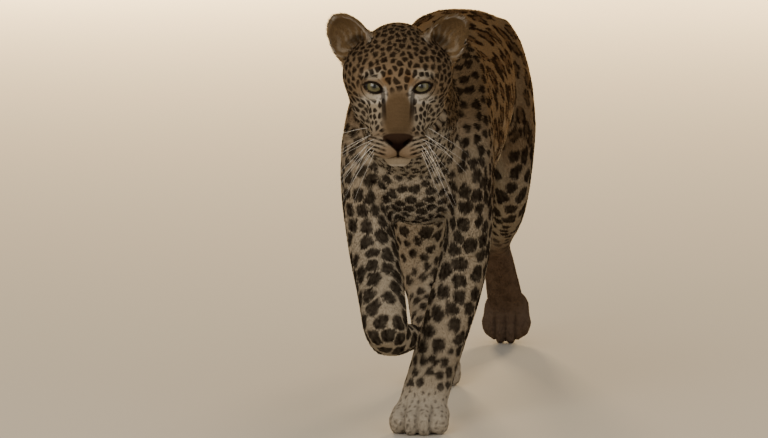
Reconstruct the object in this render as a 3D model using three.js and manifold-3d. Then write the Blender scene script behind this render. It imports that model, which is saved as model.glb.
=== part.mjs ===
// A life-size walking leopard: millimetres, +Z up, facing -Y, its left side towards +X, standing on the floor at z = 0.
// The left forepaw and the right hind paw stand flat, the left hind foot pushes off on its toes and the right
// forepaw swings. Flesh is lofted round the line of each limb, and the head is one blended form of skull and muscle.
import * as THREE from "three";
import { mergeVertices } from "three/addons/utils/BufferGeometryUtils.js";
import Module from "manifold-3d";

const wasm = await Module();
wasm.setup();

// Driving dimensions
const GAP = 0.3; // between neighbouring parts
const HEAD_YAW = THREE.MathUtils.degToRad(7.4); // the head is turned to the animal's left
const HEAD_PITCH = THREE.MathUtils.degToRad(25); // and carried with the nose low
const HEAD_AT = [7, -275, 547]; // middle of the skull, between the ears and the eyes
const EYE = { x: 35, y: -31, z: 31, radius: 17, outward: 0.2, upward: 0.38 };
const EYE_OPENING = { width: 30, height: 19, slant: 0.15 };
const LID = 2.6; // thickness of the eyelids
const EAR = { length: 72, width: 64, wall: 3 };
const TOE = { radius: 15.5, length: 27, height: 21 };
const PALM = { length: 40, height: 27 };
const KNUCKLE_DEPTH = 26; // half the thickness of the foot where the toes begin
const BODY_SIDES = 26;
const LIMB_SIDES = 16;

const v3 = (x, y, z) => new THREE.Vector3(x, y, z);
const X_AXIS = v3(1, 0, 0);

// A closed mesh as a solid, and a solid back as a mesh geometry.
function solid(geometry) {
  const bare = geometry.index ? geometry.clone() : geometry;
  bare.deleteAttribute("normal");
  bare.deleteAttribute("uv");
  const merged = mergeVertices(bare, 1e-3);
  return new wasm.Manifold(
    new wasm.Mesh({
      numProp: 3,
      vertProperties: merged.attributes.position.array,
      triVerts: new Uint32Array(merged.index.array),
    }),
  );
}

// The largest closed body of a solid, so that a loose sliver left by a cut is dropped.
function largest(whole) {
  return whole.decompose().reduce((a, b) => (a.volume() > b.volume() ? a : b));
}

function geometryOf(whole) {
  const { vertProperties, triVerts } = whole.getMesh();
  const made = new THREE.BufferGeometry();
  made.setAttribute("position", new THREE.BufferAttribute(vertProperties, 3));
  made.setIndex(new THREE.BufferAttribute(triVerts, 1));
  made.computeVertexNormals();
  return made;
}

const join = (solids) => solids.reduce((a, b) => a.add(b));

// A tube of flesh. Each station is [x, y, z, half width, front or upper depth, back or lower depth], and the
// rings between them follow one smooth curve. The first and last rings close to a rounded end.
function loft(stations, { sides, rings, grow = 0, square = 2.2 }) {
  const line = new THREE.CatmullRomCurve3(stations.map(([x, y, z]) => v3(x, y, z)));
  const girth = new THREE.CatmullRomCurve3(stations.map((s) => v3(s[3], s[4], s[5])));
  const round = (value) => Math.sign(value) * Math.abs(value) ** (2 / square);
  const points = [];
  for (let i = 0; i <= rings; i++) {
    const t = i / rings;
    const at = line.getPoint(t);
    const along = line.getTangent(t);
    const across = X_AXIS.clone().addScaledVector(along, -along.x).normalize();
    const front = v3().crossVectors(along, across);
    const size = girth.getPoint(t).addScalar(grow);
    for (let k = 0; k < sides; k++) {
      const turn = (k / sides) * 2 * Math.PI;
      const c = round(Math.cos(turn));
      const s = round(Math.sin(turn));
      points.push(
        at
          .clone()
          .addScaledVector(across, size.x * c)
          .addScaledVector(front, (s > 0 ? size.y : size.z) * s),
      );
    }
  }
  const [first, last] = [0, 1].map((t) => line.getPoint(t));
  first.addScaledVector(line.getTangent(0), -0.35 * (stations[0][3] + grow));
  last.addScaledVector(line.getTangent(1), 0.35 * (stations.at(-1)[3] + grow));
  points.push(first, last);
  const index = [];
  const start = points.length - 2;
  for (let k = 0; k < sides; k++) {
    const next = (k + 1) % sides;
    for (let i = 0; i < rings; i++) {
      const [a, b] = [i * sides + k, i * sides + next];
      index.push(a, b, a + sides, b, b + sides, a + sides);
    }
    index.push(start, next, k, start + 1, rings * sides + k, rings * sides + next);
  }
  const made = new THREE.BufferGeometry().setFromPoints(points);
  made.setIndex(index);
  return made;
}

// Pushes the surface out round a muscle or a bone, or in round a hollow, by a smooth bump.
function swell(geometry, from, bumps) {
  const position = geometry.attributes.position;
  for (let i = 0; i < position.count; i++) {
    const p = v3().fromBufferAttribute(position, i);
    const moved = p.clone();
    for (const { at, reach, lift } of bumps) {
      const centre = v3(...at);
      const away = p.distanceTo(centre) / reach;
      const outward = p.clone().sub(from(p)).normalize();
      moved.addScaledVector(outward, lift * Math.exp(-away * away));
    }
    position.setXYZ(i, moved.x, moved.y, moved.z);
  }
  return geometry;
}

function ellipsoid([x, y, z], [rx, ry, rz], across, down) {
  return new THREE.SphereGeometry(1, across, down)
    .rotateX(Math.PI / 2)
    .scale(rx, ry, rz)
    .translate(x, y, z);
}

// Everything under the floor, cut from each foot so that it stands on flats at one level.
const underFloor = solid(new THREE.BoxGeometry(400, 2000, 200).translate(0, 400, -100));

// The head. Its own frame has the nose towards -Y and the crown towards +Z.

const smoothMin = (a, b, k) => {
  const h = Math.max(k - Math.abs(a - b), 0) / k;
  return Math.min(a, b) - (h * h * k) / 4;
};
const smoothMax = (a, b, k) => -smoothMin(-a, -b, k);

function ellipsoidField(p, [x, y, z], [rx, ry, rz]) {
  const [dx, dy, dz] = [p.x - x, p.y - y, p.z - z];
  const near = Math.hypot(dx / rx, dy / ry, dz / rz);
  const steep = Math.hypot(dx / rx ** 2, dy / ry ** 2, dz / rz ** 2);
  return steep < 1e-9 ? -Math.min(rx, ry, rz) : (near * (near - 1)) / steep;
}

function taperField(p, from, to, r0, r1) {
  const a = v3(...from);
  const span = v3(...to).sub(a);
  const t = THREE.MathUtils.clamp(p.clone().sub(a).dot(span) / span.lengthSq(), 0, 1);
  return p.distanceTo(a.addScaledVector(span, t)) - THREE.MathUtils.lerp(r0, r1, t);
}

// Signed distance to the head's surface, under 0 inside it. One side stands for both.
function headField(point) {
  const p = v3(Math.abs(point.x), point.y, point.z);
  let d = ellipsoidField(p, [0, 38, 18], [65, 82, 68]); // braincase
  d = smoothMin(d, ellipsoidField(p, [0, -4, 30], [46, 44, 36]), 30); // forehead
  d = smoothMin(d, ellipsoidField(p, [46, 22, 20], [37, 46, 41]), 24); // cheekbone
  d = smoothMin(d, ellipsoidField(p, [32, 24, -30], [38, 46, 38]), 26); // jaw muscle and cheek fur
  d = smoothMin(d, taperField(p, [0, -24, 12], [0, -95, -23], 32, 20), 20); // bridge of the nose
  d = smoothMin(d, taperField(p, [13, -40, -16], [10, -88, -30], 32, 23), 14); // upper jaw
  d = smoothMin(d, ellipsoidField(p, [23, -90, -33], [24, 27, 19]), 12); // whisker pad
  d = smoothMin(d, taperField(p, [5, -84, -57], [16, -10, -44], 17, 30), 10); // lower jaw and chin
  d = smoothMin(d, ellipsoidField(p, [0, -104, -15], [20, 15, 14]), 9); // nose leather
  d = smoothMax(d, -ellipsoidField(p, [56, -74, 0], [13, 20, 13]), 14); // hollow in front of the cheekbone
  d = smoothMin(d, p.distanceTo(v3(EYE.x, EYE.y, EYE.z)) - EYE.radius - 0.8, 10); // the eye's own swelling
  return d;
}

const HEAD_CORE = v3(0, -26, -4); // a point that sees the whole of the head's surface
const FACE_SHARE = 1.25; // over 1, it packs the rings of points towards the nose

// A ball whose points are drawn along their rays to the head's surface, or to `grow` outside it.
function headForm(grow) {
  const ball = new THREE.SphereGeometry(1, 40, 32).rotateX(Math.PI);
  const position = ball.attributes.position;
  for (let i = 0; i < position.count; i++) {
    const ray = v3().fromBufferAttribute(position, i);
    const polar = Math.PI * (Math.acos(THREE.MathUtils.clamp(-ray.y, -1, 1)) / Math.PI) ** FACE_SHARE;
    const wide = Math.hypot(ray.x, ray.z) || 1;
    ray.set((ray.x / wide) * Math.sin(polar), -Math.cos(polar), (ray.z / wide) * Math.sin(polar));
    let far = 170;
    for (let step = 0; step < 80; step++) {
      const d = headField(HEAD_CORE.clone().addScaledVector(ray, far)) - grow;
      if (Math.abs(d) < 0.02) break;
      far -= 0.7 * d;
    }
    const p = HEAD_CORE.clone().addScaledVector(ray, far);
    position.setXYZ(i, p.x, p.y, p.z);
  }
  return ball;
}

// Where a ray forward from (x, z) leaves the head, for what is drawn on the face.
function faceY(x, z) {
  let y = -140;
  for (let step = 0; step < 80; step++) y += 0.7 * headField(v3(x, y, z));
  return y;
}

// The pointed oval of the open eye, seen along its own axis, with the inner corner low.
function eyeOpening() {
  const { width, height } = EYE_OPENING;
  const half = width / 2;
  const outline = new THREE.Shape();
  outline.moveTo(-half, -0.12 * height);
  outline.bezierCurveTo(-0.4 * half, 0.72 * height, 0.5 * half, 0.66 * height, half, 0.08 * height);
  outline.bezierCurveTo(0.6 * half, -0.6 * height, -0.4 * half, -0.72 * height, -half, -0.12 * height);
  const depth = 40;
  return new THREE.ExtrudeGeometry(outline, { depth, bevelEnabled: false, curveSegments: 8 });
}

// Turns a thing made along +Z so that it looks out of the face at the left eye.
const atEye = (geometry) =>
  geometry
    .rotateZ(EYE_OPENING.slant)
    .rotateX(Math.PI / 2 - EYE.upward)
    .rotateZ(EYE.outward)
    .translate(EYE.x, EYE.y, EYE.z);

const sided = (whole, side) => (side > 0 ? whole : whole.mirror([1, 0, 0]));
const eyeball = (radius) => solid(ellipsoid([EYE.x, EYE.y, EYE.z], Array(3).fill(radius), 16, 12));

// A groove along points given as [x, z] on the face, for the mouth and the cleft under the nose.
function groove(places, radius, sunk) {
  const line = new THREE.CatmullRomCurve3(places.map(([x, z]) => v3(x, faceY(x, z) + sunk, z)));
  const section = new THREE.Shape().absarc(0, 0, radius, 0, 2 * Math.PI);
  const tube = new THREE.ExtrudeGeometry(section, {
    extrudePath: line,
    steps: places.length * 3,
    curveSegments: 3,
    bevelEnabled: false,
  });
  return solid(tube);
}

const nostril = () => solid(ellipsoid([0, 0, 0], [6.2, 9, 3.8], 12, 8).rotateY(0.75).translate(11.5, -117, -20));

// The line of the closed mouth and the cleft above it, as [x, z] on the face.
const MOUTH = [
  [-44, -41],
  [-36, -46],
  [-24, -50],
  [-11, -48],
  [0, -43],
  [11, -48],
  [24, -50],
  [36, -46],
  [44, -41],
];
const CLEFT = [
  [0, -43],
  [0, -36],
  [0, -30],
];

function headSolid() {
  let head = solid(headForm(0));
  const opening = solid(atEye(eyeOpening()));
  for (const side of [1, -1])
    head = head
      .add(sided(eyeball(EYE.radius + LID), side))
      .subtract(sided(opening, side))
      .subtract(sided(eyeball(EYE.radius + GAP), side))
      .subtract(sided(nostril(), side));
  return head.subtract(groove(MOUTH, 1.6, 0.4)).subtract(groove(CLEFT, 1.2, 0.2));
}

// The left ear stands on the side of the crown, leaning out and back, a cup that opens forwards.
function earSolid() {
  const half = EAR.width / 2;
  const outer = ellipsoid([0, 6, 0.3 * EAR.length], [half, 23, 0.7 * EAR.length], 20, 14);
  const inner = half - EAR.wall;
  const cup = ellipsoid([0, -14, 0.34 * EAR.length], [inner, 34, 0.66 * EAR.length - EAR.wall], 18, 12);
  const back = v3(-0.2, 0.93, -0.3).normalize();
  const across = v3().crossVectors(back, v3(0.55, 0.36, 0.75)).normalize();
  const upward = v3().crossVectors(across, back);
  const frame = new THREE.Matrix4().makeBasis(across, back, upward).setPosition(57, 36, 43);
  const place = (geometry) => solid(geometry.applyMatrix4(frame));
  return largest(place(outer).subtract(place(cup)).subtract(solid(headForm(GAP))));
}

const headFrame = new THREE.Matrix4()
  .makeTranslation(...HEAD_AT)
  .multiply(new THREE.Matrix4().makeRotationZ(HEAD_YAW))
  .multiply(new THREE.Matrix4().makeRotationX(HEAD_PITCH));

const inHeadFrame = (whole) => whole.transform(headFrame.elements);
const NAPE = [6, -196, 534]; // where the neck is parted from the head

// Trunk, from the root of the tail to the breast.
const TRUNK = [
  [0, 742, 500, 32, 34, 40],
  [0, 716, 494, 58, 66, 74],
  [0, 662, 482, 80, 94, 96],
  [0, 590, 474, 93, 113, 94],
  [0, 500, 468, 100, 120, 102],
  [0, 405, 458, 104, 117, 120],
  [0, 300, 450, 108, 119, 134],
  [0, 195, 448, 105, 124, 145],
  [0, 105, 450, 98, 134, 149],
  [0, 30, 453, 92, 136, 145],
  [0, -35, 452, 84, 116, 128],
  [0, -82, 446, 64, 78, 92],
  [0, -104, 442, 36, 44, 48],
];
const spine = (p) => v3(0, THREE.MathUtils.clamp(p.y, -60, 700), 462);
const TRUNK_BUMPS = [
  { at: [0, 60, 590], reach: 80, lift: 5 }, // withers
  { at: [66, 40, 560], reach: 60, lift: 16 }, // the blade of the standing foreleg
  { at: [-62, 30, 545], reach: 55, lift: 8 },
  { at: [58, 610, 565], reach: 55, lift: 12 }, // hip
  { at: [-62, 600, 565], reach: 55, lift: 14 },
];
const trunk = (grow) =>
  solid(swell(loft(TRUNK, { sides: BODY_SIDES, rings: 26, grow }), spine, TRUNK_BUMPS));

// Neck, from between the shoulders to the back of the skull.
const NECK = [
  [0, 40, 480, 70, 92, 100],
  [0, -30, 482, 76, 92, 100],
  [2, -95, 495, 73, 84, 92],
  [5, -150, 512, 69, 78, 82],
  [7, -200, 530, 66, 74, 74],
  [8, -240, 542, 58, 62, 62],
];
const neckLoft = (grow) => solid(loft(NECK, { sides: 22, rings: 9, grow }));

// Limbs. Stations run down the outside line of each leg, from the blade or the haunch to the wrist or the hock.
const FORELEG_LEFT = [
  [68, 62, 580, 14, 22, 26],
  [75, 52, 558, 24, 46, 48],
  [81, 28, 505, 31, 66, 70],
  [85, 4, 445, 34, 76, 80],
  [84, 2, 380, 34, 70, 74],
  [81, 18, 318, 35, 60, 64],
  [72, 24, 262, 37, 50, 54],
  [58, 19, 202, 38, 43, 46],
  [42, 10, 145, 36, 37, 40],
  [28, 2, 98, 36, 34, 36],
  [25, 0, 86, 35, 33, 34],
];
const FORELEG_RIGHT = [
  [-54, 56, 560, 14, 26, 30],
  [-62, 42, 540, 23, 48, 52],
  [-72, 15, 490, 31, 66, 72],
  [-78, -10, 430, 34, 74, 80],
  [-77, -12, 370, 35, 70, 76],
  [-70, -18, 316, 36, 60, 66],
  [-59, -42, 272, 37, 51, 54],
  [-47, -76, 237, 36, 43, 44],
  [-37, -108, 203, 35, 37, 36],
  [-31, -128, 177, 34, 33, 33],
  [-30, -131, 172, 33, 31, 31],
];
const HINDLEG_LEFT = [
  [54, 640, 564, 16, 40, 36],
  [65, 632, 530, 28, 74, 66],
  [76, 618, 470, 36, 94, 84],
  [81, 608, 405, 38, 92, 82],
  [81, 612, 345, 35, 70, 68],
  [75, 640, 292, 32, 56, 57],
  [62, 698, 246, 29, 42, 46],
  [46, 756, 210, 25, 32, 38],
  [35, 796, 184, 24, 28, 31],
  [34, 808, 172, 23, 25, 26],
];
const HINDLEG_RIGHT = [
  [-56, 632, 562, 16, 40, 36],
  [-66, 618, 530, 28, 74, 66],
  [-74, 592, 470, 38, 94, 84],
  [-73, 556, 405, 50, 92, 80],
  [-64, 528, 350, 52, 72, 70],
  [-58, 522, 290, 49, 58, 60],
  [-61, 540, 235, 41, 44, 50],
  [-62, 556, 185, 35, 35, 42],
  [-59, 556, 142, 31, 32, 34],
  [-56, 550, 126, 26, 27, 29],
];

// A foot: the joint it hangs from, a metapodium down to the knuckles, a palm, and four toes side by side.
// `down` is the slope of the toes under the level, and TOES has each toe's place across the palm and ahead.
const TOES = [
  [-0.68, 24],
  [-0.24, 37],
  [0.24, 37],
  [0.68, 24],
];

function foot({ from, knuckle, half, palm, down, floor }) {
  const a = v3(...from);
  const k = v3(...knuckle);
  const stations = [0, 0.35, 0.7, 1].map((t) => {
    const p = a.clone().lerp(k, t);
    const w = THREE.MathUtils.lerp(half, palm * 0.8, t);
    const deep = THREE.MathUtils.lerp(0.95 * half, KNUCKLE_DEPTH, t);
    return [p.x, p.y, p.z, w, deep, deep];
  });
  const turn = (geometry) => solid(geometry.rotateX(down).translate(k.x, k.y, k.z));
  const pieces = [
    solid(loft(stations, { sides: 12, rings: 4 })),
    solid(ellipsoid(from, [half, 0.97 * half, 0.97 * half], 16, 8)),
    turn(ellipsoid([0, -4, -8], [palm, PALM.length, PALM.height], 16, 8)),
  ];
  for (const [across, ahead] of TOES)
    pieces.push(
      turn(ellipsoid([across * palm, -ahead, -15], [TOE.radius, TOE.length, TOE.height], 8, 6)),
    );
  const made = join(pieces);
  return floor ? made.subtract(underFloor) : made;
}

const FEET = {
  forepaw_left: { from: [26, 1, 90], knuckle: [12, -32, 34], half: 36, palm: 46, down: 0.04, floor: true },
  forepaw_right: { from: [-30, -128, 174], knuckle: [-25, -96, 146], half: 34, palm: 38, down: 2.75, floor: false },
  hindpaw_left: { from: [34, 804, 174], knuckle: [44, 880, 62], half: 23, palm: 39, down: 1.05, floor: true },
  hindpaw_right: { from: [-57, 552, 132], knuckle: [-20, 436, 34], half: 27, palm: 40, down: 0.04, floor: true },
};

const TAIL = [
  [0, 700, 520, 34, 34, 34],
  [0, 748, 488, 31, 31, 31],
  [-2, 796, 420, 29, 29, 29],
  [-8, 846, 330, 27, 27, 27],
  [-18, 908, 244, 26, 26, 26],
  [-30, 988, 176, 26, 26, 26],
  [-42, 1072, 150, 26, 26, 26],
  [-50, 1146, 168, 25, 25, 25],
  [-54, 1196, 214, 23, 23, 23],
  [-55, 1212, 252, 16, 16, 16],
];
const tailLoft = (grow) => solid(loft(TAIL, { sides: 12, rings: 26, grow, square: 2 }));

// A thin slab that parts a long piece at a level place, square to its line.
function slab(at, along, size = 240) {
  const turn = new THREE.Quaternion().setFromUnitVectors(v3(0, 0, 1), v3(...along).normalize());
  return solid(new THREE.BoxGeometry(size, size, GAP).applyQuaternion(turn).translate(...at));
}

// The piece of a parted solid that holds the given point.
function pieceAt(whole, [x, y, z]) {
  const near = (m) => {
    const { min, max } = m.boundingBox();
    return Math.hypot((min[0] + max[0]) / 2 - x, (min[1] + max[1]) / 2 - y, (min[2] + max[2]) / 2 - z);
  };
  return whole.decompose().reduce((a, b) => (near(a) < near(b) ? a : b));
}

// The coat's colours on each part, and the finish of fur and of the wet eye.
const FUR = new THREE.MeshStandardMaterial({ color: 0x9a7b55, roughness: 0.9, metalness: 0 });
const EYE_GLOSS = new THREE.MeshStandardMaterial({ color: 0x8a8548, roughness: 0.1, metalness: 0 });

const leopard = new THREE.Group();
function part(name, whole, material) {
  const mesh = new THREE.Mesh(geometryOf(whole), material);
  mesh.name = name;
  leopard.add(mesh);
}

const body = trunk(0);
const bodyGrown = trunk(GAP);
const neckGrown = neckLoft(GAP);

const headAndNeck = inHeadFrame(headSolid())
  .add(neckLoft(0).subtract(bodyGrown))
  .subtract(slab(NAPE, [0.04, -0.94, 0.34]));
part("head", pieceAt(headAndNeck, HEAD_AT), FUR);
for (const [side, name] of [
  [1, "left"],
  [-1, "right"],
]) {
  part(`eye_${name}`, inHeadFrame(sided(eyeball(EYE.radius), side)), EYE_GLOSS);
  part(`ear_${name}`, inHeadFrame(sided(earSolid(), side)), FUR);
}
part("neck", pieceAt(headAndNeck, NECK[2]), FUR);

const LEGS = {
  left: { fore: FORELEG_LEFT, hind: HINDLEG_LEFT },
  right: { fore: FORELEG_RIGHT, hind: HINDLEG_RIGHT },
};
for (const [side, { fore, hind }] of Object.entries(LEGS))
  for (const [place, stations] of [
    ["fore", fore],
    ["hind", hind],
  ]) {
    const upper = solid(loft(stations, { sides: LIMB_SIDES, rings: 17 }));
    const limb = upper.add(foot(FEET[`${place}paw_${side}`]));
    part(`${place}leg_${side}`, largest(limb.subtract(bodyGrown).subtract(neckGrown)), FUR);
  }

const tail = tailLoft(0).subtract(bodyGrown);
const TAIL_CUTS = [3, 6];
const parted = TAIL_CUTS.reduce((whole, i) => {
  const along = TAIL[i + 1].slice(0, 3).map((v, j) => v - TAIL[i - 1][j]);
  return whole.subtract(slab(TAIL[i].slice(0, 3), along, 120));
}, tail);
part("tail_root", pieceAt(parted, TAIL[2].slice(0, 3)), FUR);
part("tail_middle", pieceAt(parted, TAIL[4].slice(0, 3)), FUR);
part("tail_tip", pieceAt(parted, TAIL[8].slice(0, 3)), FUR);
part("trunk", body, FUR);

// The part's origin is the middle of its own box, at the floor.
leopard.updateMatrixWorld(true);
const box = new THREE.Box3().setFromObject(leopard, true);
leopard.position.set(-(box.min.x + box.max.x) / 2, -(box.min.y + box.max.y) / 2, -box.min.z);

export default leopard;
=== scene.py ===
import math
from itertools import product
import bmesh
import bpy
import numpy as np
from mathutils import Matrix, Vector
from mathutils.kdtree import KDTree


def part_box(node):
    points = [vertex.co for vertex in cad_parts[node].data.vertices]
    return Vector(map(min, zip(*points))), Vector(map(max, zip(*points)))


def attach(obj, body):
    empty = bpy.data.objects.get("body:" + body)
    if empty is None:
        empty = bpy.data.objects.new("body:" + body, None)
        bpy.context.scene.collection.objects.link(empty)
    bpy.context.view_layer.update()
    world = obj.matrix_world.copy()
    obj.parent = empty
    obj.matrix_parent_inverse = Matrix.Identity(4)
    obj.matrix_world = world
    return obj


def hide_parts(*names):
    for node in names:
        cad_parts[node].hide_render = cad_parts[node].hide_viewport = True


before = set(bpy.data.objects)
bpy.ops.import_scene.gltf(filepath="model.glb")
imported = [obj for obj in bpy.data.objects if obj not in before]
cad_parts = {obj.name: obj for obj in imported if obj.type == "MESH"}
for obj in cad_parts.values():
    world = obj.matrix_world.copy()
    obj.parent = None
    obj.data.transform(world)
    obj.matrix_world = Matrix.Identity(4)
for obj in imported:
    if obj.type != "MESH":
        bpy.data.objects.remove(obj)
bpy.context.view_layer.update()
seed = 20  # for every random choice
mm = 0.001

# Places below are in the millimetres of the solids' own drawing, whose zero is under the shoulders.
drawingZero = np.array([1.626, -424.708, 0.0])
headAt = np.array([7.0, -275.0, 547.0])  # the head's middle
yaw = math.radians(7.4)  # of the head, and of the camera that it faces
headPitch = math.radians(25)
headTurn = np.array(Matrix.Rotation(yaw, 3, "Z") @ Matrix.Rotation(headPitch, 3, "X"))
flesh = [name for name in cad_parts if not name.startswith("eye_")]  # all but the eyeballs

# The left eyeball and the gap between its lids, in mm, and the turns of its middle line, in radians.
eye = {
    "x": 35.0,
    "y": -31.0,
    "z": 31.0,
    "radius": 17.0,
    "cornea": 0.05,
    "outward": 0.12,
    "upward": 0.46,
    "slant": 0.15,
    "halfGap": 15.5,
    "topGap": 7.2,
    "bottomGap": 6.4,
}


# Between the frame's metres, the drawing's mm, and the head's own frame in mm.
def toDrawing(points):
    return points / mm - drawingZero


def toRow(points):
    return (points + drawingZero) * mm


def toHead(points):
    return (points - headAt) @ headTurn


def fromHead(points):
    return points @ headTurn.T + headAt


# Points of the head, with those of its right side moved over to its left.
def mirrored(local):
    return np.stack([np.abs(local[:, 0]), local[:, 1], local[:, 2]], 1)


# sRGB hex to linear red, green and blue.
def linear(hexColour):
    parts = np.array([int(hexColour[i : i + 2], 16) / 255 for i in (1, 3, 5)])
    return np.where(parts <= 0.04045, parts / 12.92, ((parts + 0.055) / 1.055) ** 2.4)


def smoothStep(low, high, x):
    t = np.clip((x - low) / (high - low), 0, 1)
    return t * t * (3 - 2 * t)


def mix(a, b, t):
    t = np.asarray(t)[:, None]
    return a * (1 - t) + b * t


def unit(v):
    return v / np.maximum(np.linalg.norm(v, axis=-1, keepdims=True), 1e-9)


# Smooth noise between about -1 and 1, from a few sines in random directions; scale is in mm.
def waves(points, scale, number):
    rng = np.random.default_rng(number)
    total = np.zeros(len(points))
    for _ in range(7):
        way = unit(rng.normal(size=3)) * (2 * math.pi / scale) * rng.uniform(0.7, 1.4)
        total += np.sin(points @ way + rng.uniform(0, 2 * math.pi))
    return total / 3.2


# Camera: the photo's view, through a long lens, from a little above the animal and to its left

camera = {"away": 9030, "left": 49, "height": 1512, "pitch": 7.5, "lens": 278.4}


def makeCamera():
    pitch = math.radians(camera["pitch"])
    ahead = np.array([-math.sin(yaw), math.cos(yaw), 0.0])
    right = np.array([math.cos(yaw), math.sin(yaw), 0.0])
    place = -camera["away"] * ahead - camera["left"] * right + np.array([0, 0, camera["height"]])
    data = bpy.data.cameras.new("camera")
    data.sensor_width = 36
    data.lens = camera["lens"]
    data.clip_start = 0.1
    data.clip_end = 60
    made = bpy.data.objects.new("camera", data)
    made.location = toRow(place)
    made.rotation_euler = (math.pi / 2 - pitch, 0, yaw)
    bpy.context.scene.collection.objects.link(made)
    bpy.context.scene.camera = made
    return toRow(place)


cameraPlace = makeCamera()
print("camera made")


# The form of the head, in its own frame: nose towards -Y, crown towards +Z

def smoothMin(a, b, k):
    h = np.maximum(k - np.abs(a - b), 0) / k
    return np.minimum(a, b) - h * h * k / 4


def smoothMax(a, b, k):
    return -smoothMin(-a, -b, k)


def ellipsoidField(p, centre, radii):
    d = p - np.array(centre)
    near = np.linalg.norm(d / np.array(radii), axis=1)
    steep = np.linalg.norm(d / np.array(radii) ** 2, axis=1)
    return near * (near - 1) / np.maximum(steep, 1e-9)


def taperField(p, start, end, r0, r1):
    a = np.array(start, float)
    span = np.array(end, float) - a
    t = np.clip((p - a) @ span / (span @ span), 0, 1)
    return np.linalg.norm(p - a - t[:, None] * span, axis=1) - (r0 + (r1 - r0) * t)


# The distance from the head's surface, in mm; less than 0 inside it.
def headField(points):
    p = points.copy()
    p[:, 0] = np.sqrt(p[:, 0] ** 2 + 1)
    d = ellipsoidField(p, [0, 38, 18], [65, 82, 68])  # skull
    d = smoothMin(d, ellipsoidField(p, [0, -4, 30], [46, 44, 36]), 30)  # brow
    d = smoothMin(d, ellipsoidField(p, [46, 22, 20], [37, 46, 41]), 24)  # temple
    d = smoothMin(d, ellipsoidField(p, [32, 24, -30], [38, 46, 38]), 26)  # cheek
    d = smoothMin(d, taperField(p, [0, -24, 12], [0, -95, -23], 32, 20), 20)  # bridge of the nose
    d = smoothMin(d, taperField(p, [13, -40, -16], [10, -88, -30], 32, 23), 14)  # side of the muzzle
    d = smoothMin(d, ellipsoidField(p, [23, -90, -33], [24, 27, 19]), 12)  # whisker pad
    d = smoothMin(d, taperField(p, [5, -84, -57], [16, -10, -44], 17, 30), 10)  # jaw
    d = smoothMin(d, ellipsoidField(p, [0, -104, -15], [20, 15, 14]), 9)  # tip of the nose
    d = smoothMax(d, -ellipsoidField(p, [56, -74, 0], [13, 20, 13]), 14)  # hollow before the cheek
    away = np.linalg.norm(p - np.array([eye["x"], eye["y"], eye["z"]]), axis=1)
    return smoothMin(d, away - eye["radius"] - 2.6, 8)  # swell over the eyeball


def fieldSlope(points):
    step = 0.5
    slope = np.zeros_like(points)
    for axis in range(3):
        side = np.zeros(3)
        side[axis] = step
        slope[:, axis] = headField(points + side) - headField(points - side)
    return unit(slope)


# The left eye's own right, up and forward, in the head's frame.
def eyeAxes():
    turn = Matrix.Rotation(eye["outward"], 3, "Z") @ Matrix.Rotation(math.pi / 2 - eye["upward"], 3, "X")
    axes = np.array(turn @ Matrix.Rotation(eye["slant"], 3, "Z"))
    return axes[:, 0], axes[:, 1], axes[:, 2]


eyeRight, eyeUp, eyeForward = eyeAxes()
eyeCentre = np.array([eye["x"], eye["y"], eye["z"]])


# How far a point, mirrored to the left, lies inside the open eye, in mm; under 0 it is on the lids.
def lidDepth(p):
    q = p - eyeCentre
    across = q @ eyeRight / eye["halfGap"]
    height = q @ eyeUp
    arch = np.maximum(1 - np.abs(across) ** 2.2, -0.6)
    top = eye["topGap"] * arch - 0.12 * eye["topGap"] * (1 - across)
    bottom = -eye["bottomGap"] * arch - 0.1 * eye["topGap"] * (1 - across)
    inside = np.minimum(top - height, height - bottom)
    return np.where(q @ eyeForward > 0, inside, -20), q


# The skin: sizes in mm, and how far it lies under the tips of the coat on each part

skinPlan = {"voxel": 6.2, "body": 2.0, "head": 1.6, "ear_": 2.6, "tail": 3.4, "foreleg": 0.5, "hindleg": 0.5}
toeCleft = 3.4


# A tree of the solids' corners, with the name of the node that each belongs to.
def nodeLabels():
    places = []
    names = []
    for name in flesh:
        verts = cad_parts[name].data.vertices
        co = np.zeros(len(verts) * 3)
        verts.foreach_get("co", co)
        places.append(co.reshape(-1, 3))
        names += [name] * len(verts)
    places = np.concatenate(places)
    tree = KDTree(len(places))
    for i, place in enumerate(places):
        tree.insert(place, i)
    tree.balance()
    return tree, np.array(names)


# Every node of flesh in one mesh, each fattened so that the thin partings close.
def joinedFlesh():
    bm = bmesh.new()
    for name in flesh:
        part = bmesh.new()
        part.from_mesh(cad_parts[name].data)
        bmesh.ops.remove_doubles(part, verts=part.verts, dist=1e-6)
        part.normal_update()
        grow = (1.8 if name.startswith("ear_") else 0.6) * mm
        for vert in part.verts:
            vert.co += vert.normal * grow
        mesh = bpy.data.meshes.new("part")
        part.to_mesh(mesh)
        part.free()
        bm.from_mesh(mesh)
        bpy.data.meshes.remove(mesh)
    mesh = bpy.data.meshes.new("skin")
    bm.to_mesh(mesh)
    bm.free()
    return mesh


def remeshed(mesh, voxel):
    made = bpy.data.objects.new("skin", mesh)
    bpy.context.scene.collection.objects.link(made)
    remesh = made.modifiers.new("remesh", "REMESH")
    remesh.mode = "VOXEL"
    remesh.voxel_size = voxel
    graph = bpy.context.evaluated_depsgraph_get()
    result = bpy.data.meshes.new_from_object(made.evaluated_get(graph))
    bpy.data.objects.remove(made)
    return result


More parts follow.
